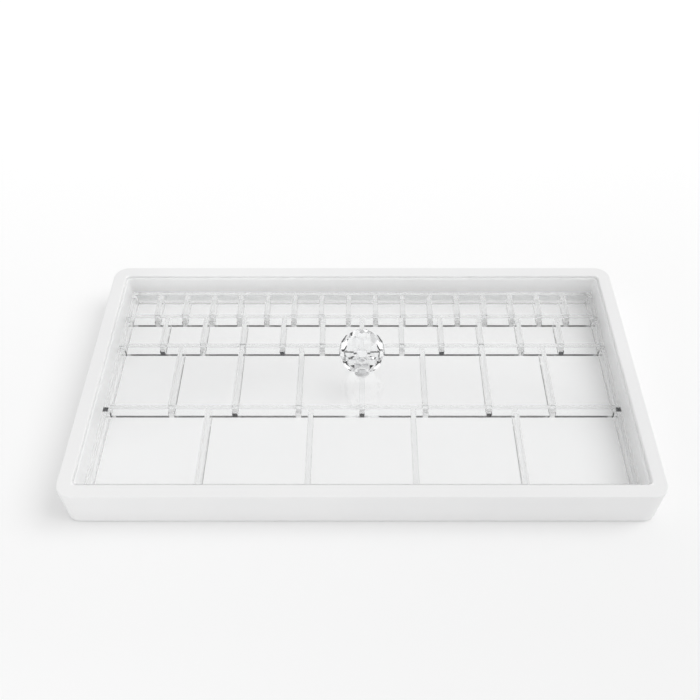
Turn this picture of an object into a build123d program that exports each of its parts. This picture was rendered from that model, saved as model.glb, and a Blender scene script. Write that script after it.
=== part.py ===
from build123d import *
import math
import os

# A shallow white tray holds a lift-out frame of clear dividers and is closed by a clear lid
# with a cut crystal knob. Millimetres, +Z up, front at -Y, origin under the middle of the tray.

# Tray
tray_length = 326.0
tray_width = 180.0
tray_height = 25.5
tray_floor = 4.5
rim_width = 8.0
outer_corner = 9.0
side_draft = 1.0
rim_edge_round = 0.7
foot_edge_round = 1.2
floor_edge_round = 0.8
cavity_corner = 2.0

# Rebate inside the rim, and the lid that lies in it on a ledge
lid_thickness = 3.0
lid_below_rim = 0.2
lid_side_gap = 0.5
ledge_width = 1.5
rebate_corner = 3.0
lid_edge_chamfer = 0.2

# Divider frame, cut from one clear sheet. Rows count from the front, and row 1, the deepest,
# takes what the others leave.
sheet = 3.0
divider_height = 8.2
frame_end_gap = 1.2
frame_front_gap = 2.2
row_2_depth = 46.6
row_3_depth = 22.7
row_4_depth = 18.1
row_cells = (5, 8, 12, 17)
tab_height = 4.0
tab_gap = 0.1
top_edge_chamfer = 0.2

# Knob: a cut crystal ball on a metal collar, held by a screw from under the lid
ball_facet_radius = 12.7
ball_base_radius = 5.6
facet_rings = ((64.0, 5), (38.0, 10), (12.5, 10), (-12.5, 10), (-38.0, 10))
collar_diameter = 8.6
collar_height = 4.2
collar_waist = 0.8
spigot_diameter = 5.0
spigot_length = 5.0
spigot_gap = 0.1
screw_diameter = 3.0
screw_reach = 7.5
screw_gap = 0.15
screw_head_diameter = 6.0
screw_head_height = 2.2
screw_slot_width = 0.9
screw_slot_depth = 1.0
washer_diameter = 9.0
washer_thickness = 0.8

# Places that follow from the sizes above
rebate_length = tray_length - 2 * rim_width
rebate_width = tray_width - 2 * rim_width
cavity_length = rebate_length - 2 * ledge_width
cavity_width = rebate_width - 2 * ledge_width
lid_top = tray_height - lid_below_rim
lid_bottom = lid_top - lid_thickness
frame_length = cavity_length - 2 * frame_end_gap
frame_width = cavity_width - 2 * frame_front_gap
side_inner_x = frame_length / 2 - sheet
column_span = frame_length - sheet
front_inner_y = -frame_width / 2 + sheet
back_inner_y = frame_width / 2 - sheet
divider_3_y = back_inner_y - row_4_depth - sheet
divider_2_y = divider_3_y - row_3_depth - sheet
divider_1_y = divider_2_y - row_2_depth - sheet
row_starts = (front_inner_y, divider_1_y + sheet, divider_2_y + sheet, divider_3_y + sheet)
row_ends = (divider_1_y, divider_2_y, divider_3_y, back_inner_y)
ball_base_drop = math.sqrt(ball_facet_radius**2 - ball_base_radius**2)
ball_base_z = lid_top + collar_height
ball_centre_z = ball_base_z + ball_base_drop


def block(x0, x1, y0, y1, z0, z1):
    """A plain box between two corners."""
    box = Box(x1 - x0, y1 - y0, z1 - z0, align=(Align.MIN, Align.MIN, Align.MIN))
    return Pos(x0, y0, z0) * box


def rounded_block(length, width, corner, z0, z1):
    """A centred block with rounded upright edges."""
    return Pos(0, 0, z0) * extrude(RectangleRounded(length, width, corner), z1 - z0)


def disc(diameter, z0, z1):
    """An upright cylinder on the knob's axis."""
    return Pos(0, 0, z0) * extrude(Circle(diameter / 2), z1 - z0)


def divider_places(cells):
    """X of the middle of each divider in a row of equal compartments."""
    return [column_span * (i / cells - 0.5) for i in range(1, cells)]


def make_tray():
    """Thick-walled tray: the walls lean out slightly, the rim carries the lid's rebate."""
    foot = RectangleRounded(
        tray_length - 2 * side_draft, tray_width - 2 * side_draft, outer_corner - side_draft
    )
    lean = math.degrees(math.atan(side_draft / tray_height))
    body = extrude(foot, tray_height, taper=-lean)
    body -= rounded_block(cavity_length, cavity_width, cavity_corner, tray_floor, tray_height)
    body -= rounded_block(rebate_length, rebate_width, rebate_corner, lid_bottom, tray_height)
    rim = body.faces().sort_by(Axis.Z)[-1]
    body = fillet(rim.edges(), rim_edge_round)
    foot_face = body.faces().sort_by(Axis.Z)[0]
    body = fillet(foot_face.edges(), foot_edge_round)
    floor_face = body.faces().filter_by(Axis.Z).filter_by(
        lambda face: abs(face.center().Z - tray_floor) < 0.01
    )[0]
    return fillet(floor_face.edges(), floor_edge_round)


def make_lid():
    """Clear sheet that drops into the rebate, drilled for the knob's screw."""
    lid = rounded_block(
        rebate_length - 2 * lid_side_gap,
        rebate_width - 2 * lid_side_gap,
        rebate_corner - lid_side_gap,
        lid_bottom,
        lid_top,
    )
    faces = lid.faces().sort_by(Axis.Z)
    lid = chamfer(faces[-1].edges() + faces[0].edges(), lid_edge_chamfer)
    return lid - disc(screw_diameter + 2 * screw_gap, lid_bottom - 1, lid_top + 1)


def soften_top(plate):
    """Takes the sharp edge off the top of a divider sheet."""
    return chamfer(plate.faces().sort_by(Axis.Z)[-1].edges(), top_edge_chamfer)


def notch_x(x, y0):
    """Slot in a sheet that runs along X, open at the foot, for a tab of a cross divider."""
    half = sheet / 2 + tab_gap
    top = tray_floor + tab_height
    return block(x - half, x + half, y0 - 1, y0 + sheet + 1, tray_floor - 1, top)


def notch_y(x0, y):
    """Slot in a side plate, open at the foot, for an end tab of a long divider."""
    top = tray_floor + tab_height
    return block(
        x0 - 1, x0 + sheet + 1, y - tab_gap, y + sheet + tab_gap, tray_floor - 1, top
    )


def outer_plate(y0, cells):
    """Front or back plate, over the whole length, with slots for what tabs into it."""
    half = frame_length / 2
    plate = block(-half, half, y0, y0 + sheet, tray_floor, tray_floor + divider_height)
    plate = soften_top(plate)
    places = divider_places(cells) if cells else []
    for x in places + [-half + sheet / 2, half - sheet / 2]:
        plate -= notch_x(x, y0)
    return plate


def side_plate(x0):
    """Left or right plate: its end tabs enter the front and back plates."""
    top = tray_floor + divider_height
    plate = soften_top(block(x0, x0 + sheet, front_inner_y, back_inner_y, tray_floor, top))
    tab_top = tray_floor + tab_height - tab_gap
    plate += block(x0, x0 + sheet, front_inner_y - sheet, back_inner_y + sheet, tray_floor, tab_top)
    for y in (divider_1_y, divider_2_y, divider_3_y):
        plate -= notch_y(x0, y)
    return plate


def long_divider(y0, cells_behind):
    """Divider over the whole length: end tabs enter the side plates, slots take the row behind."""
    top = tray_floor + divider_height
    plate = soften_top(block(-side_inner_x, side_inner_x, y0, y0 + sheet, tray_floor, top))
    tab_top = tray_floor + tab_height - tab_gap
    reach = side_inner_x + sheet
    plate += block(-reach, reach, y0, y0 + sheet, tray_floor, tab_top)
    for x in divider_places(cells_behind):
        plate -= notch_x(x, y0)
    return plate


def cross_divider(x, y0, y1):
    """Short divider: its front tab enters the sheet in front, its back end butts the one behind."""
    top = tray_floor + divider_height
    plate = soften_top(block(x - sheet / 2, x + sheet / 2, y0, y1, tray_floor, top))
    tab_top = tray_floor + tab_height - tab_gap
    return plate + block(x - sheet / 2, x + sheet / 2, y0 - sheet, y1, tray_floor, tab_top)


def make_crystal():
    """Ball cut with rings of flat facets, a flat table on top and a flat base."""
    centre = Vector(0, 0, ball_centre_z)
    size = 2 * ball_facet_radius
    ball = Pos(0, 0, ball_centre_z) * Box(2 * size, 2 * size, size)
    for ring, (latitude, count) in enumerate(facet_rings):
        tilt = math.radians(latitude)
        for i in range(count):
            turn = 2 * math.pi * (i + 0.5 * (ring % 2)) / count
            outward = Vector(
                math.cos(tilt) * math.cos(turn), math.cos(tilt) * math.sin(turn), math.sin(tilt)
            )
            facet = Plane(origin=centre + outward * ball_facet_radius, z_dir=outward)
            ball = split(ball, bisect_by=facet, keep=Keep.BOTTOM)
    ball = split(ball, bisect_by=Plane(origin=(0, 0, ball_base_z), z_dir=(0, 0, 1)))
    hole_top = ball_base_z + spigot_length + spigot_gap
    return ball - disc(spigot_diameter + 2 * spigot_gap, ball_base_z - 1, hole_top)


def make_collar():
    """Turned metal collar with a waist, and a spigot glued into the crystal."""
    radius = collar_diameter / 2
    waist = radius - collar_waist
    outline = Polyline(
        (0, 0),
        (radius, 0),
        (radius, collar_height * 0.2),
        (waist, collar_height * 0.4),
        (waist, collar_height * 0.7),
        (radius, collar_height),
        (spigot_diameter / 2, collar_height),
        (spigot_diameter / 2, collar_height + spigot_length),
        (0, collar_height + spigot_length),
        (0, 0),
    )
    turned = revolve(Plane.XZ * make_face(outline), Axis.Z)
    turned = Pos(0, 0, lid_top) * turned
    return turned - disc(screw_diameter + 2 * screw_gap, lid_top - 1, lid_top + screw_reach + screw_gap)


def make_washer():
    """Flat washer under the lid."""
    ring = disc(washer_diameter, lid_bottom - washer_thickness, lid_bottom)
    return ring - disc(screw_diameter + 2 * screw_gap, lid_bottom - washer_thickness - 1, lid_bottom + 1)


def make_screw():
    """Slotted screw: its head bears on the washer, its shank ends inside the collar."""
    head_top = lid_bottom - washer_thickness
    head_foot = head_top - screw_head_height
    screw = disc(screw_head_diameter, head_foot, head_top)
    screw = chamfer(screw.faces().sort_by(Axis.Z)[0].edges(), screw_head_height / 4)
    screw += disc(screw_diameter, head_top, lid_top + screw_reach)
    half = screw_slot_width / 2
    reach = screw_head_diameter
    return screw - block(-reach, reach, -half, half, head_foot - 1, head_foot + screw_slot_depth)


def make_parts():
    """Every piece under its node name."""
    parts = {
        "tray": make_tray(),
        "lid_plate": make_lid(),
        "knob_crystal": make_crystal(),
        "knob_collar": make_collar(),
        "knob_screw": make_screw(),
        "screw_washer": make_washer(),
        "frame_front_plate": outer_plate(front_inner_y - sheet, row_cells[0]),
        "frame_back_plate": outer_plate(back_inner_y, 0),
        "frame_left_plate": side_plate(-frame_length / 2),
        "frame_right_plate": side_plate(side_inner_x),
    }
    for number, y0 in enumerate((divider_1_y, divider_2_y, divider_3_y), start=1):
        parts[f"long_divider_{number}"] = long_divider(y0, row_cells[number])
    for row, cells in enumerate(row_cells):
        for number, x in enumerate(divider_places(cells), start=1):
            name = f"row{row + 1}_divider_{number}"
            parts[name] = cross_divider(x, row_starts[row], row_ends[row])
    return parts


os.makedirs("parts", exist_ok=True)
for name, shape in make_parts().items():
    export_step(shape, f"parts/{name}.step")
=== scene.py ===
import math

import bmesh
import bpy
from mathutils import Matrix, Vector


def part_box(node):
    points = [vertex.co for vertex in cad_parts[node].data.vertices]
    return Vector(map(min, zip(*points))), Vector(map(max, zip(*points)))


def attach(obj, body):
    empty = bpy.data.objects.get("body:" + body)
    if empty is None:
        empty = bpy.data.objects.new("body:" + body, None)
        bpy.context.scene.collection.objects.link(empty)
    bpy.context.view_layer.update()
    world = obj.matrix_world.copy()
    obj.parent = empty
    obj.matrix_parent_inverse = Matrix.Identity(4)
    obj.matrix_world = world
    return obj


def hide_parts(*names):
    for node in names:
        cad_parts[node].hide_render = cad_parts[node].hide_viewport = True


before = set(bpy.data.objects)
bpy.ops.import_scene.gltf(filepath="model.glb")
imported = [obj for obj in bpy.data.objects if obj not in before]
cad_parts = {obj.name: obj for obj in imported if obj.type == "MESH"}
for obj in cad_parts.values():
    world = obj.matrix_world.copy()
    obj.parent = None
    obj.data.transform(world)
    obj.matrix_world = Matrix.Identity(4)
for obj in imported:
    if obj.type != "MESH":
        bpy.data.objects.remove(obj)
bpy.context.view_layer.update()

bl_info = {
    "name": "Watch Parts Case",
    "version": (1, 0, 0),
    "blender": (4, 5, 0),
    "location": "View3D > Sidebar > Parts Case",
    "description": "Finishes a white parts tray with clear dividers, a clear lid and a cut knob",
    "category": "Add Mesh",
}

MM = 0.001
# How squarely a face must look along an axis to count as facing it, and how little to count as upright
FACING = 0.9
UPRIGHT = 0.2
# Tab ends that were left as sawn, and so show pale instead of dark
SAWN_TABS = {f"row2_divider_{i}" for i in (1, 3, 5, 7)} | {f"row3_divider_{i}" for i in (3, 5, 7, 9)}
# Tab ends given near-black glass: painted shade where these ends show dark
PAINTED_DARK_TABS = {f"row2_divider_{i}" for i in (2, 4, 6)} | {f"row3_divider_{i}" for i in (1, 4, 8, 11)}
ROW_CELLS = (5, 8, 12, 17)
# Rings of facets from the top down: their height angle in degrees and how many there are
FACET_RINGS = ((64.0, 5), (38.0, 10), (12.5, 10), (-12.5, 10), (-38.0, 10))
# Lamps: name, kind, place, target, power and form
LAMPS = (
    ("window_light", "SUN", (0.8, 0.05, 1.0), (0, 0, 0), 0.9, {"angle": math.radians(40)}),
    ("left_fill", "AREA", (-0.26, -0.5, 0.12), (-0.15, -0.1, 0), 0.2, {"size": 0.2}),
    ("inner_fill", "AREA", (0, 0.03, 0.05), (0.01, 0.09, 0.012), 0.009,
     {"shape": "RECTANGLE", "size": 0.28, "size_y": 0.02}),
)
# The surroundings as brightness along the height of a direction, from level (0) to straight up (1)
ROOM_STOPS = ((0.12, 1), (0.3, 0), (0.85, 0), (0.94, 1))
GLINT_STOPS = ((0.66, 1), (0.69, 0), (0.75, 0), (0.78, 1))
# Dark and pale ends of the surroundings as seen mirrored, through the knob and through the sheets
MIRRORED = (0.75, 1.0)
THROUGH_KNOB = (0.0, 1.5)
THROUGH_SHEETS = (0.02, 1.1)
# A ray that has passed more surfaces than this has been through the sheets
KNOB_PASSES = 3.5
TRAY_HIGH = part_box("tray")[1]
TRAY_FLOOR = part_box("frame_front_plate")[0].z
LID_LOW, LID_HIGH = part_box("lid_plate")
BALL_LOW, BALL_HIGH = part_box("knob_crystal")
COLLAR_LOW, COLLAR_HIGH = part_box("knob_collar")


def length(label, note, default):
    """A size that a user may change, in metres."""
    return bpy.props.FloatProperty(
        name=label, description=note, default=default, min=0.0, precision=5, unit="LENGTH"
    )


def colour(label, note, default):
    """A colour that a user may change."""
    return bpy.props.FloatVectorProperty(
        name=label, description=note, default=default, min=0.0, max=1.0, size=3, subtype="COLOR"
    )


def amount(label, note, default, high=1.0):
    """A plain number that a user may change."""
    return bpy.props.FloatProperty(name=label, description=note, default=default, min=0.0, max=high)


class TrayFinish(bpy.types.PropertyGroup):
    white: colour("White", "Colour of the moulded plastic", (0.90, 0.90, 0.90))
    shade: colour("Shade", "Colour the plastic drifts to in faint clouds", (0.88, 0.881, 0.883))
    # Painted light: a brighter white for the plastic inside the rim, standing in for the light under
    # the lid.
    inside: colour("Inside", "Colour of the plastic under the lid", (0.955, 0.955, 0.955))
    gloss: amount("Roughness", "How much the plastic blurs what it reflects", 0.34)
    peel: amount("Peel", "Strength of the faint ripple left by the mould", 0.05)


class SheetFinish(bpy.types.PropertyGroup):
    tint: colour("Tint", "Colour of the clear sheet", (0.994, 0.998, 0.998))
    bend: amount("Index", "How strongly the sheet bends light", 1.49, 3.0)
    shine: amount("Shine", "How strongly the sheet mirrors, with 0.5 as plain acrylic", 0.08)
    sawn: colour("Sawn", "Colour of sawn, unpolished ends", (0.97, 0.97, 0.97))
    lid_edge: colour("Lid edge", "Colour of the lid's sawn edge", (0.95, 0.955, 0.955))
    # Painted shade: near-black glass on some tab ends and on the side plates' slot walls.
    painted_dark: colour("Deep", "Colour of ends and slots that look along a sheet", (0.006, 0.006, 0.007))
    edge: length("Edge", "Width of the softened edges", 0.03 * MM)
    air: length("Air", "Film of air left where two pieces touch", 0.04 * MM)
    tab_height: length("Tab height", "Height of the slots that take the tabs", 4.0 * MM)
    tab_gap: length("Tab gap", "Play of a tab in its slot", 0.1 * MM)
    lid_corner: length("Lid corner", "Radius of the lid's corners", 2.5 * MM)
    lid_hole: length("Lid hole", "Radius of the hole for the screw", 1.65 * MM)


class KnobFinish(bpy.types.PropertyGroup):
    tint: colour("Tint", "Colour of the crystal", (0.99, 0.995, 1.0))
    bend: amount("Index", "How strongly the crystal bends light", 1.62, 3.0)
    facet_radius: length("Facet radius", "From the ball's middle to each facet", 12.7 * MM)
    base_radius: length("Base radius", "Radius of the ball's flat base", 5.6 * MM)
    hole_radius: length("Hole radius", "Radius of the blind hole for the spigot", 2.6 * MM)
    spigot_radius: length("Spigot radius", "Radius of the collar's spigot", 2.5 * MM)
    waist: length("Waist", "How far the collar draws in", 0.8 * MM)
    metal: colour("Metal", "Colour of the plated metal", (0.97, 0.97, 0.975))
    bore: length("Bore", "Radius of the collar's bore for the screw", 1.65 * MM)


class StageSettings(bpy.types.PropertyGroup):
    eye_back: length("Eye back", "How far the camera stands in front of the case's middle", 347.6 * MM)
    eye_up: length("Eye up", "Height of the camera over the rim", 392.1 * MM)
    pitch: bpy.props.FloatProperty(
        name="Pitch", description="How far the camera looks down", default=math.radians(47.2),
        subtype="ANGLE",
    )
    focal: amount("Focal length", "Lens in millimetres", 45.29, 200.0)
    shift: bpy.props.FloatProperty(
        name="Shift", description="Sideways shift of the picture", default=-12 / 700
    )
    floor_white: colour("Floor", "Colour of the floor", (0.95, 0.95, 0.95))
    floor_glow: amount("Floor glow", "Glow that keeps the far floor white to the eye", 0.16)
    sky: amount("Sky", "Brightness of the surroundings", 0.905, 5.0)
    sky_lean: amount("Sky lean", "How much brighter the surroundings are behind the case", 0.10)


# Materials


def node(tree, kind, place, **values):
    """Adds a node and sets its plain inputs by name."""
    made = tree.nodes.new(kind)
    made.location = place
    for name, value in values.items():
        made.inputs[name.replace("_", " ")].default_value = value
    return made


def blank_material(name):
    """A material with only an output, ready for its own nodes."""
    material = bpy.data.materials.new(name)
    material.use_nodes = True
    material.node_tree.nodes.clear()
    tree = material.node_tree
    return material, tree, node(tree, "ShaderNodeOutputMaterial", (600, 0))


def breakup_group():
    """Node group: a soft drifting mask and a fine ripple, both read from the piece's own place."""
    name = "Surface Breakup"
    if name in bpy.data.node_groups:
        return bpy.data.node_groups[name]
    group = bpy.data.node_groups.new(name, "ShaderNodeTree")
    for label, default in (("Cloud Scale", 20.0), ("Ripple Scale", 400.0)):
        socket = group.interface.new_socket(label, in_out="INPUT", socket_type="NodeSocketFloat")
        socket.default_value = default
    for label in ("Cloud", "Ripple"):
        group.interface.new_socket(label, in_out="OUTPUT", socket_type="NodeSocketFloat")
    entry = node(group, "NodeGroupInput", (-600, 0))
    leave = node(group, "NodeGroupOutput", (400, 0))
    place = node(group, "ShaderNodeTexCoord", (-600, -200))
    cloud = node(group, "ShaderNodeTexNoise", (-200, 100), Detail=4.0, Roughness=0.55)
    ripple = node(group, "ShaderNodeTexNoise", (-200, -200), Detail=2.0, Roughness=0.5)
    link = group.links.new
    link(place.outputs["Object"], cloud.inputs["Vector"])
    link(place.outputs["Object"], ripple.inputs["Vector"])
    link(entry.outputs["Cloud Scale"], cloud.inputs["Scale"])
    link(entry.outputs["Ripple Scale"], ripple.inputs["Scale"])
    link(cloud.outputs["Fac"], leave.inputs["Cloud"])
    link(ripple.outputs["Fac"], leave.inputs["Ripple"])
    return group


def add_breakup(tree, cloud_scale, ripple_scale):
    """Places the shared breakup group in a material."""
    made = tree.nodes.new("ShaderNodeGroup")
    made.node_tree = breakup_group()
    made.location = (-700, 0)
    made.inputs["Cloud Scale"].default_value = cloud_scale
    made.inputs["Ripple Scale"].default_value = ripple_scale
    return made


def map_range(tree, source, place, start, end, low=0.0, high=1.0):
    """Maps start..end to low..high."""
    made = node(
        tree, "ShaderNodeMapRange", place, From_Min=start, From_Max=end, To_Min=low, To_Max=high
    )
    tree.links.new(source, made.inputs["Value"])
    return made.outputs["Result"]


def spread(tree, source, low, high, place):
    """Maps a noise mask, which stays within 0.3..0.7, to low..high."""
    return map_range(tree, source, place, 0.3, 0.7, low, high)


def grey_ramp(tree, source, place, stops):
    """A ramp of greys from four or more (position, brightness) stops."""
    made = node(tree, "ShaderNodeValToRGB", place)
    elements = made.color_ramp.elements
    elements[0].position, elements[1].position = stops[0][0], stops[-1][0]
    for at, _ in stops[1:-1]:
        elements.new(at)
    for element, (_, grey) in zip(elements, stops):
        element.color = (grey, grey, grey, 1.0)
    tree.links.new(source, made.inputs["Fac"])
    return made.outputs["Color"]


def vector_math(tree, operation, source, place, value=None):
    """Vector arithmetic on a socket, with a fixed second value where it takes one."""
    made = tree.nodes.new("ShaderNodeVectorMath")
    made.operation = operation
    made.location = place
    tree.links.new(source, made.inputs[0])
    if value is not None:
        made.inputs[1].default_value = value
    return made


def plain_math(tree, operation, first, second, place):
    """Arithmetic on a socket and a second socket or number."""
    made = node(tree, "ShaderNodeMath", place)
    made.operation = operation
    tree.links.new(first, made.inputs[0])
    if isinstance(second, bpy.types.NodeSocket):
        tree.links.new(second, made.inputs[1])
    else:
        made.inputs[1].default_value = second
    return made.outputs["Value"]


def choose_by_ray(tree, surface, others, place):
    """Swaps a shader for another on rays of a kind. Later kinds win over earlier ones."""
    path = node(tree, "ShaderNodeLightPath", (place[0], place[1] + 500))
    for step, (ray, other) in enumerate(others):
        mix = node(tree, "ShaderNodeMixShader", (place[0] + 150 * step, place[1]))
        tree.links.new(path.outputs[ray], mix.inputs["Fac"])
        tree.links.new(surface, mix.inputs[1])
        tree.links.new(other, mix.inputs[2])
        surface = mix.outputs["Shader"]
    return surface


def ripple_normal(tree, source, strength, distance):
    """A bump from the ripple mask."""
    made = node(tree, "ShaderNodeBump", (-200, -300), Strength=strength, Distance=distance)
    tree.links.new(source, made.inputs["Height"])
    return made.outputs["Normal"]


def inside_mask(tree, reach_x, reach_y):
    """A mask that is 1 within a rectangle round the middle and 0 outside it."""
    place = node(tree, "ShaderNodeTexCoord", (-1300, 400)).outputs["Object"]
    plain = vector_math(tree, "ABSOLUTE", place, (-1100, 400)).outputs["Vector"]
    share = vector_math(tree, "MULTIPLY", plain, (-900, 400), (1 / reach_x, 1 / reach_y, 0.0))
    split = node(tree, "ShaderNodeSeparateXYZ", (-700, 400))
    tree.links.new(share.outputs["Vector"], split.inputs["Vector"])
    most = plain_math(tree, "MAXIMUM", split.outputs["X"], split.outputs["Y"], (-500, 400))
    return map_range(tree, most, (-300, 400), 0.998, 1.002, 1.0, 0.0)


def mix_colours(tree, mask, first, second, place):
    """Runs from one colour to another along a mask. Each is a colour or a socket."""
    mix = tree.nodes.new("ShaderNodeMix")
    mix.data_type = "RGBA"
    mix.location = place
    tree.links.new(mask, mix.inputs["Factor"])
    for socket, value in ((mix.inputs["A"], first), (mix.inputs["B"], second)):
        if isinstance(value, bpy.types.NodeSocket):
            tree.links.new(value, socket)
        else:
            socket.default_value = (*value, 1.0)
    return mix.outputs["Result"]


def tray_plastic(finish):
    """White moulded plastic: faint clouds in its colour and gloss, a fine ripple, and a brighter white
    inside the lid's rim, painted light that stands in for the brighter light under the lid."""
    material, tree, out = blank_material("white_moulded_plastic")
    skin = node(tree, "ShaderNodeBsdfPrincipled", (200, 0), IOR=1.5)
    masks = add_breakup(tree, cloud_scale=18.0, ripple_scale=900.0)
    link = tree.links.new
    clouds = spread(tree, masks.outputs["Cloud"], 0.0, 1.0, (-450, 200))
    worn = mix_colours(tree, clouds, finish.white, finish.shade, (-200, 200))
    # Painted light: the plastic inside the rim takes the brighter white.
    past_gap = 0.7 * MM
    painted_light_area = inside_mask(tree, LID_HIGH.x + past_gap, LID_HIGH.y + past_gap)
    link(mix_colours(tree, painted_light_area, worn, finish.inside, (0, 200)), skin.inputs["Base Color"])
    rough = spread(tree, masks.outputs["Cloud"], finish.gloss - 0.04, finish.gloss + 0.05, (-450, -50))
    link(rough, skin.inputs["Roughness"])
    peel = ripple_normal(tree, masks.outputs["Ripple"], strength=finish.peel, distance=0.05 * MM)
    link(peel, skin.inputs["Normal"])
    link(skin.outputs["BSDF"], out.inputs["Surface"])
    return material


def clear_material(name, tint, bend, shine, roughness, ripple):
    """Clear sheet or crystal. Lamps and scattered light pass straight through it."""
    material, tree, out = blank_material(name)
    glass = node(tree, "ShaderNodeBsdfPrincipled", (0, 0), IOR=bend, Transmission_Weight=1.0)
    glass.inputs["Base Color"].default_value = (*tint, 1.0)
    glass.inputs["Specular IOR Level"].default_value = shine
    masks = add_breakup(tree, cloud_scale=25.0, ripple_scale=60.0)
    link = tree.links.new
    link(spread(tree, masks.outputs["Cloud"], 0.0, roughness, (-300, 0)), glass.inputs["Roughness"])
    waves = ripple_normal(tree, masks.outputs["Ripple"], strength=ripple, distance=0.02 * MM)
    link(waves, glass.inputs["Normal"])
    let_light_pass(tree, glass.outputs["BSDF"], out)
    return material


def let_light_pass(tree, surface, out):
    """Lamps and scattered light go straight through a surface that the eye still sees."""
    passed = node(tree, "ShaderNodeBsdfTransparent", (200, -400)).outputs["BSDF"]
    others = (("Is Diffuse Ray", passed), ("Is Shadow Ray", passed))
    tree.links.new(choose_by_ray(tree, surface, others, (300, 0)), out.inputs["Surface"])


def sawn_material(name, white, bend):
    """Sawn, unpolished acrylic: pale and matt, with the saw's faint marks. Light seeps through."""
    material, tree, out = blank_material(name)
    skin = node(tree, "ShaderNodeBsdfPrincipled", (200, 0), IOR=bend, Roughness=0.55)
    masks = add_breakup(tree, cloud_scale=120.0, ripple_scale=700.0)
    link = tree.links.new
    clouds = spread(tree, masks.outputs["Cloud"], 0.0, 1.0, (-450, 200))
    duller = [0.9 * c for c in white]
    link(mix_colours(tree, clouds, duller, white, (-200, 200)), skin.inputs["Base Color"])
    marks = ripple_normal(tree, masks.outputs["Ripple"], strength=0.3, distance=0.05 * MM)
    link(marks, skin.inputs["Normal"])
    let_light_pass(tree, skin.outputs["BSDF"], out)
    return material


def plated_metal(finish):
    """Pale plated metal with a satin, faintly uneven polish."""
    material, tree, out = blank_material("bright_plated_metal")
    metal = node(tree, "ShaderNodeBsdfPrincipled", (200, 0), Metallic=0.35)
    metal.inputs["Base Color"].default_value = (*finish.metal, 1.0)
    masks = add_breakup(tree, cloud_scale=300.0, ripple_scale=2500.0)
    link = tree.links.new
    link(spread(tree, masks.outputs["Cloud"], 0.45, 0.6, (-300, 0)), metal.inputs["Roughness"])
    grain = ripple_normal(tree, masks.outputs["Ripple"], strength=0.05, distance=0.01 * MM)
    link(grain, metal.inputs["Normal"])
    link(metal.outputs["BSDF"], out.inputs["Surface"])
    return material


# Shapes


def check_closed(shape, name):
    """Stops the build if a shape has an open or doubled edge."""
    if not all(edge.is_manifold for edge in shape.edges):
        raise RuntimeError(name + " is not closed")


def finish_piece(shape, name, material, body, slot, *nodes):
    """Turns a bmesh into a piece that stands for CAD nodes and rides on a body."""
    bmesh.ops.recalc_face_normals(shape, faces=shape.faces[:])
    check_closed(shape, name)
    mesh = bpy.data.meshes.new(name)
    shape.to_mesh(mesh)
    shape.free()
    piece = bpy.data.objects.new(name, mesh)
    bpy.context.scene.collection.objects.link(piece)
    mesh.materials.append(material)
    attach(piece, body)
    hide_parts(*nodes)
    return piece


def cut_out(points, lift):
    """A sheet cut to an outline, with its thickness along lift."""
    shape = bmesh.new()
    face = shape.faces.new([shape.verts.new(point) for point in points])
    grown = bmesh.ops.extrude_face_region(shape, geom=[face])["geom"]
    moved = [part for part in grown if isinstance(part, bmesh.types.BMVert)]
    bmesh.ops.translate(shape, verts=moved, vec=lift)
    return shape


def soften(shape, width, segments=1, edges=None):
    """Bevels edges, by default all of them."""
    bmesh.ops.bevel(
        shape,
        geom=edges or shape.edges[:],
        offset=width,
        offset_type="OFFSET",
        affect="EDGES",
        segments=segments,
        profile=0.5,
        material=-1,
        clamp_overlap=True,
    )


def slot_of(node_name, side, gap):
    """The stretch that a node's tab takes up along X or Y, with its play."""
    low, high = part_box(node_name)
    return low[side] - gap, high[side] + gap


def foot_outline(start, end, bottom, slot_top, slots):
    """Points along a sheet's foot, stepping up over each slot. A slot may lie at either end."""
    points = []
    if slots and slots[0][0] <= start:
        behind = slots[0][1]
        points += [(start, slot_top), (behind, slot_top), (behind, bottom)]
        slots = slots[1:]
    else:
        points.append((start, bottom))
    for low, high in slots:
        points += [(low, bottom), (low, slot_top)]
        if high >= end:
            return points + [(end, slot_top)]
        points += [(high, slot_top), (high, bottom)]
    return points + [(end, bottom)]


def sheet_outline(low, high, ends, slots, finish):
    """Outline of a divider or plate. ends gives how far the tab reaches past each shoulder."""
    bottom = low[1] + finish.air
    top = high[1]
    tab_top = low[1] + finish.tab_height - finish.tab_gap
    start, end = low[0] + finish.air, high[0] - finish.air
    points = foot_outline(start, end, bottom, low[1] + finish.tab_height, slots)
    if ends[1]:
        shoulder = end - ends[1] - finish.air
        points += [(end, tab_top), (shoulder, tab_top), (shoulder, top)]
    else:
        points.append((end, top))
    if ends[0]:
        shoulder = start + ends[0] + finish.air
        points += [(shoulder, top), (shoulder, tab_top), (start, tab_top)]
    else:
        points.append((start, top))
    return points


def make_sheet(name, along, ends, slots, finish, material):
    """One clear sheet of the divider frame, from its CAD box, its tabs and its slots."""
    low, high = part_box(name)
    across = 1 - along
    outline = sheet_outline((low[along], low.z), (high[along], high.z), ends, slots, finish)
    points = []
    for run, up in outline:
        point = [0.0, 0.0, up]
        point[along] = run
        point[across] = low[across]
        points.append(point)
    lift = Vector((0, 0, 0))
    lift[across] = high[across] - low[across]
    shape = cut_out(points, lift)
    soften(shape, finish.edge)
    return finish_piece(
        shape, "clear_" + name, material, "divider_frame", "divider_acrylic", name
    )


def ring_of(shape, radius, z, count):
    """A ring of edges round the knob's axis."""
    made = bmesh.ops.create_circle(
        shape, segments=count, radius=radius, matrix=Matrix.Translation((0, 0, z))
    )["verts"]
    return sorted({edge for vert in made for edge in vert.link_edges}, key=lambda e: e.index)


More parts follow.
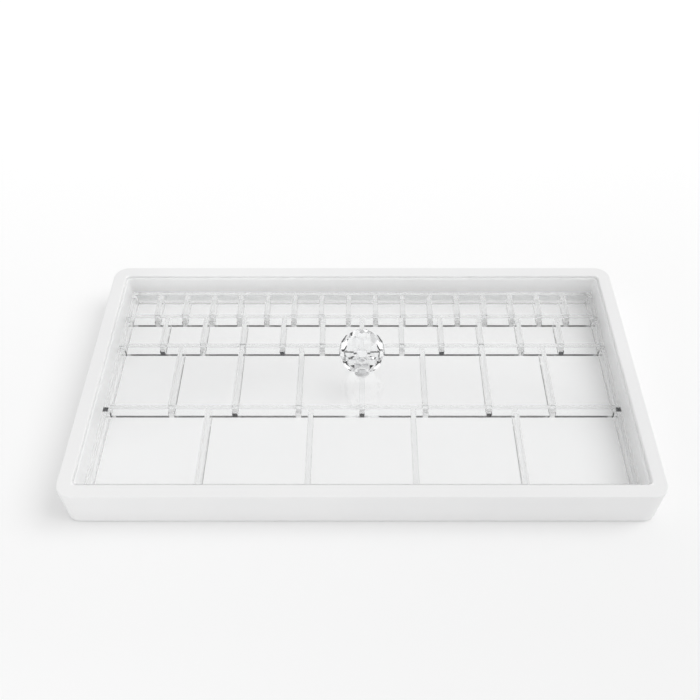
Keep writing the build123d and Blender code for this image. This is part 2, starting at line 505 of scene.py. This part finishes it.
def turned(profile, count):
    """A solid turned round the knob's axis from (radius, height) points."""
    shape = bmesh.new()
    verts = [shape.verts.new((radius, 0, z)) for radius, z in profile]
    edges = [shape.edges.new(pair) for pair in zip(verts, verts[1:] + verts[:1])]
    bmesh.ops.spin(
        shape,
        geom=verts + edges,
        cent=(0, 0, 0),
        axis=(0, 0, 1),
        angle=2 * math.pi,
        steps=count,
        use_merge=True,
    )
    bmesh.ops.remove_doubles(shape, verts=shape.verts[:], dist=0.0005 * MM)
    return shape


def smooth_by_angle(piece, degrees):
    """Shades gentle edges smooth and keeps the others crisp."""
    limit = math.radians(degrees)
    shape = bmesh.new()
    shape.from_mesh(piece.data)
    for face in shape.faces:
        face.smooth = True
    for edge in shape.edges:
        edge.smooth = edge.calc_face_angle(math.pi) < limit
    shape.to_mesh(piece.data)
    shape.free()


# Pieces


class CASE_OT_tray(bpy.types.Operator):
    """Gives the tray its white moulded plastic"""

    bl_idname = "parts_case.tray"
    bl_label = "Tray"

    def execute(self, context):
        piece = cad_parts["tray"]
        piece.data.materials.clear()
        piece.data.materials.append(tray_plastic(context.scene.tray_finish))
        return {"FINISHED"}


class CASE_OT_dividers(bpy.types.Operator):
    """Cuts the clear sheets of the divider frame, with their tabs and slots"""

    bl_idname = "parts_case.dividers"
    bl_label = "Divider Frame"

    def execute(self, context):
        finish = context.scene.sheet_finish
        sheet_look = {"bend": finish.bend, "shine": finish.shine, "roughness": 0.01, "ripple": 0.0}
        material = clear_material("clear_divider_sheet", finish.tint, **sheet_look)
        sides = ("frame_left_plate", "frame_right_plate")
        side_low, side_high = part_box(sides[0])
        sheet = side_high.x - side_low.x
        rows = [
            [f"row{row + 1}_divider_{i}" for i in range(1, cells)]
            for row, cells in enumerate(ROW_CELLS)
        ]
        side_slots = [slot_of(name, 0, finish.tab_gap) for name in sides]
        row_slots = [[slot_of(name, 0, finish.tab_gap) for name in row] for row in rows]
        long_names = [f"long_divider_{i}" for i in (1, 2, 3)]
        long_slots = [slot_of(name, 1, finish.tab_gap) for name in long_names]

        ordered = [side_slots[0]] + row_slots[0] + [side_slots[1]]
        make_sheet("frame_front_plate", 0, (0, 0), ordered, finish, material)
        make_sheet("frame_back_plate", 0, (0, 0), side_slots, finish, material)
        # Near-black glass for some tab ends and for the side plates' slot walls: painted shade.
        painted_dark = clear_material("painted_dark_divider_end", finish.painted_dark, **sheet_look)
        for name in sides:
            piece = make_sheet(name, 1, (sheet, sheet), long_slots, finish, material)
            piece.data.materials.append(painted_dark)
            for face in piece.data.polygons:
                if self.in_slot(face.center, long_slots[0], finish):
                    face.material_index = 1
        for name, slots in zip(long_names, row_slots[1:]):
            make_sheet(name, 0, (sheet, sheet), slots, finish, material)
        sawn = sawn_material("sawn_divider_end", finish.sawn, finish.bend)
        for name in (name for row in rows for name in row):
            piece = make_sheet(name, 1, (sheet, 0), [], finish, material)
            piece.data.materials.append(sawn)
            piece.data.materials.append(painted_dark)
            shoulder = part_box(name)[0].y + sheet / 2
            for face in piece.data.polygons:
                if face.normal.y > -FACING:
                    continue
                if face.center.y > shoulder or name in SAWN_TABS:
                    face.material_index = 1
                elif name in PAINTED_DARK_TABS:
                    face.material_index = 2
        return {"FINISHED"}

    def in_slot(self, point, slot, finish):
        """True for a point on the walls of a slot that runs across a side plate."""
        low, high = slot
        play = 2 * finish.edge
        return low - play < point.y < high + play and point.z < TRAY_FLOOR + finish.tab_height + play


class CASE_OT_lid(bpy.types.Operator):
    """Makes the clear lid, with softened edges, sawn sides and the hole for the knob's screw"""

    bl_idname = "parts_case.lid"
    bl_label = "Lid"

    def execute(self, context):
        finish = context.scene.sheet_finish
        low = LID_LOW + Vector((0, 0, finish.air))
        middle = (low + LID_HIGH) / 2
        size = LID_HIGH - low
        shape = bmesh.new()
        place = Matrix.Translation(middle) @ Matrix.Diagonal((*size, 1.0))
        bmesh.ops.create_cube(shape, size=1.0, matrix=place)
        upright = [e for e in shape.edges if abs(e.verts[0].co.z - e.verts[1].co.z) > size.z / 2]
        soften(shape, finish.lid_corner, segments=8, edges=upright)
        flat = [e for e in shape.edges if abs(e.verts[0].co.z - e.verts[1].co.z) < size.z / 2]
        soften(shape, 2 * finish.edge, segments=2, edges=flat)
        hole_rings = []
        for z in (low.z, LID_HIGH.z):
            face = max(
                (f for f in shape.faces if abs(f.calc_center_median().z - z) < 0.01 * MM),
                key=lambda f: f.calc_area(),
            )
            border = face.edges[:]
            bmesh.ops.delete(shape, geom=[face], context="FACES_ONLY")
            ring = ring_of(shape, finish.lid_hole, z, 48)
            bmesh.ops.triangle_fill(shape, use_beauty=True, use_dissolve=False, edges=border + ring)
            hole_rings += ring
        bmesh.ops.bridge_loops(shape, edges=hole_rings)
        material = clear_material(
            "clear_lid_sheet", finish.tint, finish.bend, finish.shine, roughness=0.01, ripple=0.02
        )
        piece = finish_piece(shape, "clear_lid", material, "lid", "lid_acrylic", "lid_plate")
        piece.data.materials.append(sawn_material("sawn_lid_edge", finish.lid_edge, finish.bend))
        for face in piece.data.polygons:
            outer = face.center.xy.length > 2 * finish.lid_hole
            if outer and abs(face.normal.z) < UPRIGHT:
                face.material_index = 1
        return {"FINISHED"}


def cut_by_plane(shape, point, outward):
    """Cuts off what lies past a plane and closes the cut with one flat facet."""
    everything = shape.verts[:] + shape.edges[:] + shape.faces[:]
    cut = bmesh.ops.bisect_plane(
        shape, geom=everything, plane_co=point, plane_no=outward, clear_outer=True, dist=1e-9
    )["geom_cut"]
    edges = [part for part in cut if isinstance(part, bmesh.types.BMEdge)]
    bmesh.ops.contextual_create(shape, geom=edges)


class CASE_OT_knob(bpy.types.Operator):
    """Cuts the crystal ball and turns the metal collar that holds it"""

    bl_idname = "parts_case.knob"
    bl_label = "Knob"

    def execute(self, context):
        finish = context.scene.knob_finish
        air = context.scene.sheet_finish.air
        self.cut_crystal(finish, air)
        self.turn_collar(finish, air)
        return {"FINISHED"}

    def cut_crystal(self, finish, air):
        radius = finish.facet_radius
        drop = math.sqrt(radius**2 - finish.base_radius**2)
        centre = Vector((0, 0, BALL_LOW.z + drop))
        shape = bmesh.new()
        place = Matrix.Translation(centre) @ Matrix.Diagonal((2.0, 2.0, 1.0, 1.0))
        bmesh.ops.create_cube(shape, size=2 * radius, matrix=place)
        for ring, (height, count) in enumerate(FACET_RINGS):
            tilt = math.radians(height)
            for i in range(count):
                turn = 2 * math.pi * (i + 0.5 * (ring % 2)) / count
                outward = Vector(
                    (math.cos(tilt) * math.cos(turn), math.cos(tilt) * math.sin(turn), math.sin(tilt))
                )
                cut_by_plane(shape, centre + outward * radius, outward)
        base = BALL_LOW.z + air
        cut_by_plane(shape, Vector((0, 0, base)), Vector((0, 0, -1)))
        foot = min(shape.faces, key=lambda f: f.calc_center_median().z)
        border = foot.edges[:]
        bmesh.ops.delete(shape, geom=[foot], context="FACES_ONLY")
        mouth = ring_of(shape, finish.hole_radius, base, 40)
        bmesh.ops.bridge_loops(shape, edges=border + mouth)
        end = COLLAR_HIGH.z + air
        far = ring_of(shape, finish.hole_radius, end, 40)
        bmesh.ops.bridge_loops(shape, edges=mouth + far)
        bmesh.ops.contextual_create(shape, geom=far)
        material = clear_material(
            "cut_crystal", finish.tint, finish.bend, shine=0.5, roughness=0.0, ripple=0.0
        )
        finish_piece(shape, "cut_crystal_ball", material, "lid", "crystal", "knob_crystal")

    def turn_collar(self, finish, air):
        foot = COLLAR_LOW.z + air
        radius = COLLAR_HIGH.x
        tall = BALL_LOW.z - COLLAR_LOW.z
        waist = radius - finish.waist
        bore = finish.bore
        profile = [
            (bore, foot),
            (radius - 0.2 * MM, foot),
            (radius, foot + 0.2 * MM),
            (radius, foot + 0.16 * tall),
            (radius - 0.3 * MM, foot + 0.24 * tall),
            (waist, foot + 0.4 * tall),
            (waist, foot + 0.68 * tall),
            (radius - 0.25 * MM, foot + 0.9 * tall),
            (radius - 0.2 * MM, BALL_LOW.z),
            (finish.spigot_radius, BALL_LOW.z),
            (finish.spigot_radius, COLLAR_HIGH.z - 0.3 * MM),
            (finish.spigot_radius - 0.3 * MM, COLLAR_HIGH.z),
            (bore, COLLAR_HIGH.z),
        ]
        material = plated_metal(finish)
        piece = finish_piece(
            turned(profile, 64), "turned_collar", material, "lid", "plated_metal", "knob_collar"
        )
        smooth_by_angle(piece, 28)


class CASE_OT_fasteners(bpy.types.Operator):
    """Gives the screw and its washer their plated metal"""

    bl_idname = "parts_case.fasteners"
    bl_label = "Screw and Washer"

    def execute(self, context):
        material = bpy.data.materials["bright_plated_metal"]
        for name in ("knob_screw", "screw_washer"):
            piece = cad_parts[name]
            piece.data.materials.clear()
            piece.data.materials.append(material)
        return {"FINISHED"}


# Stage


def floor_material(white, glow):
    """Matt white floor. To the eye it also glows a little, more with distance, so that it stays
    white to the edge of the picture."""
    material, tree, out = blank_material("floor_white")
    link = tree.links.new
    matt = node(tree, "ShaderNodeBsdfDiffuse", (0, 0))
    matt.inputs["Color"].default_value = (*white, 1.0)
    place = node(tree, "ShaderNodeTexCoord", (-600, -300))
    split = node(tree, "ShaderNodeSeparateXYZ", (-400, -300))
    link(place.outputs["Object"], split.inputs["Vector"])
    far = map_range(tree, split.outputs["Y"], (-200, -300), -0.15, 0.5, 0.0, glow)
    light = node(tree, "ShaderNodeEmission", (0, -200))
    link(far, light.inputs["Strength"])
    both = node(tree, "ShaderNodeAddShader", (200, -100))
    link(matt.outputs["BSDF"], both.inputs[0])
    link(light.outputs["Emission"], both.inputs[1])
    others = (("Is Diffuse Ray", matt.outputs["BSDF"]),)
    surface = choose_by_ray(tree, both.outputs["Shader"], others, (400, 0))
    link(surface, out.inputs["Surface"])
    return material


def add_lamp(name, kind, place, target, power, form):
    """A lamp aimed at a point. What is clear or bright doesn't show it."""
    data = bpy.data.lights.new(name, kind)
    data.energy = power
    for key, value in form.items():
        setattr(data, key, value)
    lamp = bpy.data.objects.new(name, data)
    bpy.context.scene.collection.objects.link(lamp)
    lamp.location = place
    lamp.rotation_euler = (Vector(target) - Vector(place)).to_track_quat("-Z", "Y").to_euler()
    lamp.visible_camera = lamp.visible_glossy = lamp.visible_transmission = False


class CASE_OT_stage(bpy.types.Operator):
    """Sets the white floor, the soft lamps, the pale surroundings and the camera"""

    bl_idname = "parts_case.stage"
    bl_label = "Stage"

    def execute(self, context):
        settings = context.scene.case_stage
        self.lay_floor(settings)
        self.light_world(settings)
        for lamp in LAMPS:
            add_lamp(*lamp)
        self.set_camera(settings)
        context.scene.view_settings.view_transform = "Standard"
        return {"FINISHED"}

    def lay_floor(self, settings):
        shape = bmesh.new()
        bmesh.ops.create_grid(shape, x_segments=1, y_segments=1, size=6.0)
        mesh = bpy.data.meshes.new("white_floor")
        shape.to_mesh(mesh)
        shape.free()
        floor = bpy.data.objects.new("white_floor", mesh)
        bpy.context.scene.collection.objects.link(floor)
        floor.location.z = -0.2 * MM
        mesh.materials.append(floor_material(settings.floor_white, settings.floor_glow))

    def light_world(self, settings):
        """Pale all round and a little brighter behind the case. What is clear also sees a dark
        stretch behind and above the case, as in a room behind a white table."""
        world = bpy.data.worlds.new("pale_room")
        bpy.context.scene.world = world
        world.use_nodes = True
        tree = world.node_tree
        tree.nodes.clear()
        link = tree.links.new
        out = node(tree, "ShaderNodeOutputWorld", (1300, 0))
        way = node(tree, "ShaderNodeTexCoord", (-800, 0)).outputs["Generated"]
        split = node(tree, "ShaderNodeSeparateXYZ", (-600, 0))
        link(way, split.inputs["Vector"])

        lean = vector_math(tree, "DOT_PRODUCT", way, (-500, 200), (0.0, settings.sky_lean, 0.0))
        level = plain_math(tree, "ADD", lean.outputs["Value"], settings.sky, (-300, 200))
        soft = node(tree, "ShaderNodeBackground", (600, 200))
        link(level, soft.inputs["Strength"])
        backdrop = node(tree, "ShaderNodeBackground", (600, 350), Strength=1.0)
        backdrop.inputs["Color"].default_value = (1.0, 1.0, 1.0, 1.0)

        room = grey_ramp(tree, split.outputs["Z"], (0, -200), ROOM_STOPS)
        behind = map_range(tree, split.outputs["Y"], (0, -500), 0.0, 0.35)
        seen = mix_colours(tree, behind, (1.0, 1.0, 1.0), room, (300, -300))
        glint = grey_ramp(tree, split.outputs["Z"], (0, -800), GLINT_STOPS)
        through_sheets = self.room_light(tree, seen, THROUGH_SHEETS, (600, -200))
        through_knob = self.room_light(tree, glint, THROUGH_KNOB, (600, -350))
        mirrored = self.room_light(tree, seen, MIRRORED, (600, -500))

        path = node(tree, "ShaderNodeLightPath", (600, 500))
        passes = path.outputs["Transmission Depth"]
        clear = node(tree, "ShaderNodeMixShader", (800, -200))
        link(plain_math(tree, "GREATER_THAN", passes, KNOB_PASSES, (700, 350)), clear.inputs["Fac"])
        link(through_knob, clear.inputs[1])
        link(through_sheets, clear.inputs[2])
        others = (
            ("Is Camera Ray", backdrop.outputs["Background"]),
            ("Is Glossy Ray", mirrored),
            ("Is Transmission Ray", clear.outputs["Shader"]),
        )
        surface = choose_by_ray(tree, soft.outputs["Background"], others, (850, 0))
        link(surface, out.inputs["Surface"])

    def room_light(self, tree, mask, levels, place):
        """Background that runs from dark to pale along a mask."""
        dark, pale = levels
        level = map_range(tree, mask, (place[0] - 200, place[1]), 0.0, 1.0, dark, pale)
        sky = node(tree, "ShaderNodeBackground", place)
        tree.links.new(level, sky.inputs["Strength"])
        return sky.outputs["Background"]

    def set_camera(self, settings):
        data = bpy.data.cameras.new("front_camera")
        data.lens = settings.focal
        data.sensor_width = 36.0
        data.shift_x = settings.shift
        data.clip_start = 0.01
        camera = bpy.data.objects.new("front_camera", data)
        bpy.context.scene.collection.objects.link(camera)
        camera.location = (0, -settings.eye_back, TRAY_HIGH.z + settings.eye_up)
        camera.rotation_euler = (math.pi / 2 - settings.pitch, 0, 0)
        bpy.context.scene.camera = camera


class CASE_PT_panel(bpy.types.Panel):
    """Buttons for the case's pieces"""

    bl_idname = "CASE_PT_panel"
    bl_label = "Watch Parts Case"
    bl_space_type = "VIEW_3D"
    bl_region_type = "UI"
    bl_category = "Parts Case"

    def draw(self, context):
        for operator in OPERATORS:
            self.layout.operator(operator.bl_idname)
        for name in SETTINGS:
            group = getattr(context.scene, name)
            box = self.layout.box()
            for key in group.__annotations__:
                box.prop(group, key)


OPERATORS = (
    CASE_OT_tray, CASE_OT_dividers, CASE_OT_lid, CASE_OT_knob, CASE_OT_fasteners, CASE_OT_stage,
)
SETTINGS = {
    "tray_finish": TrayFinish,
    "sheet_finish": SheetFinish,
    "knob_finish": KnobFinish,
    "case_stage": StageSettings,
}


def register():
    for cls in (*SETTINGS.values(), *OPERATORS, CASE_PT_panel):
        bpy.utils.register_class(cls)
    for name, cls in SETTINGS.items():
        setattr(bpy.types.Scene, name, bpy.props.PointerProperty(type=cls))


def unregister():
    for name in SETTINGS:
        delattr(bpy.types.Scene, name)
    for cls in reversed((*SETTINGS.values(), *OPERATORS, CASE_PT_panel)):
        bpy.utils.unregister_class(cls)


def main():
    register()
    bpy.ops.parts_case.tray()
    bpy.ops.parts_case.dividers()
    bpy.ops.parts_case.lid()
    bpy.ops.parts_case.knob()
    bpy.ops.parts_case.fasteners()
    bpy.ops.parts_case.stage()


if __name__ == "__main__":
    main()
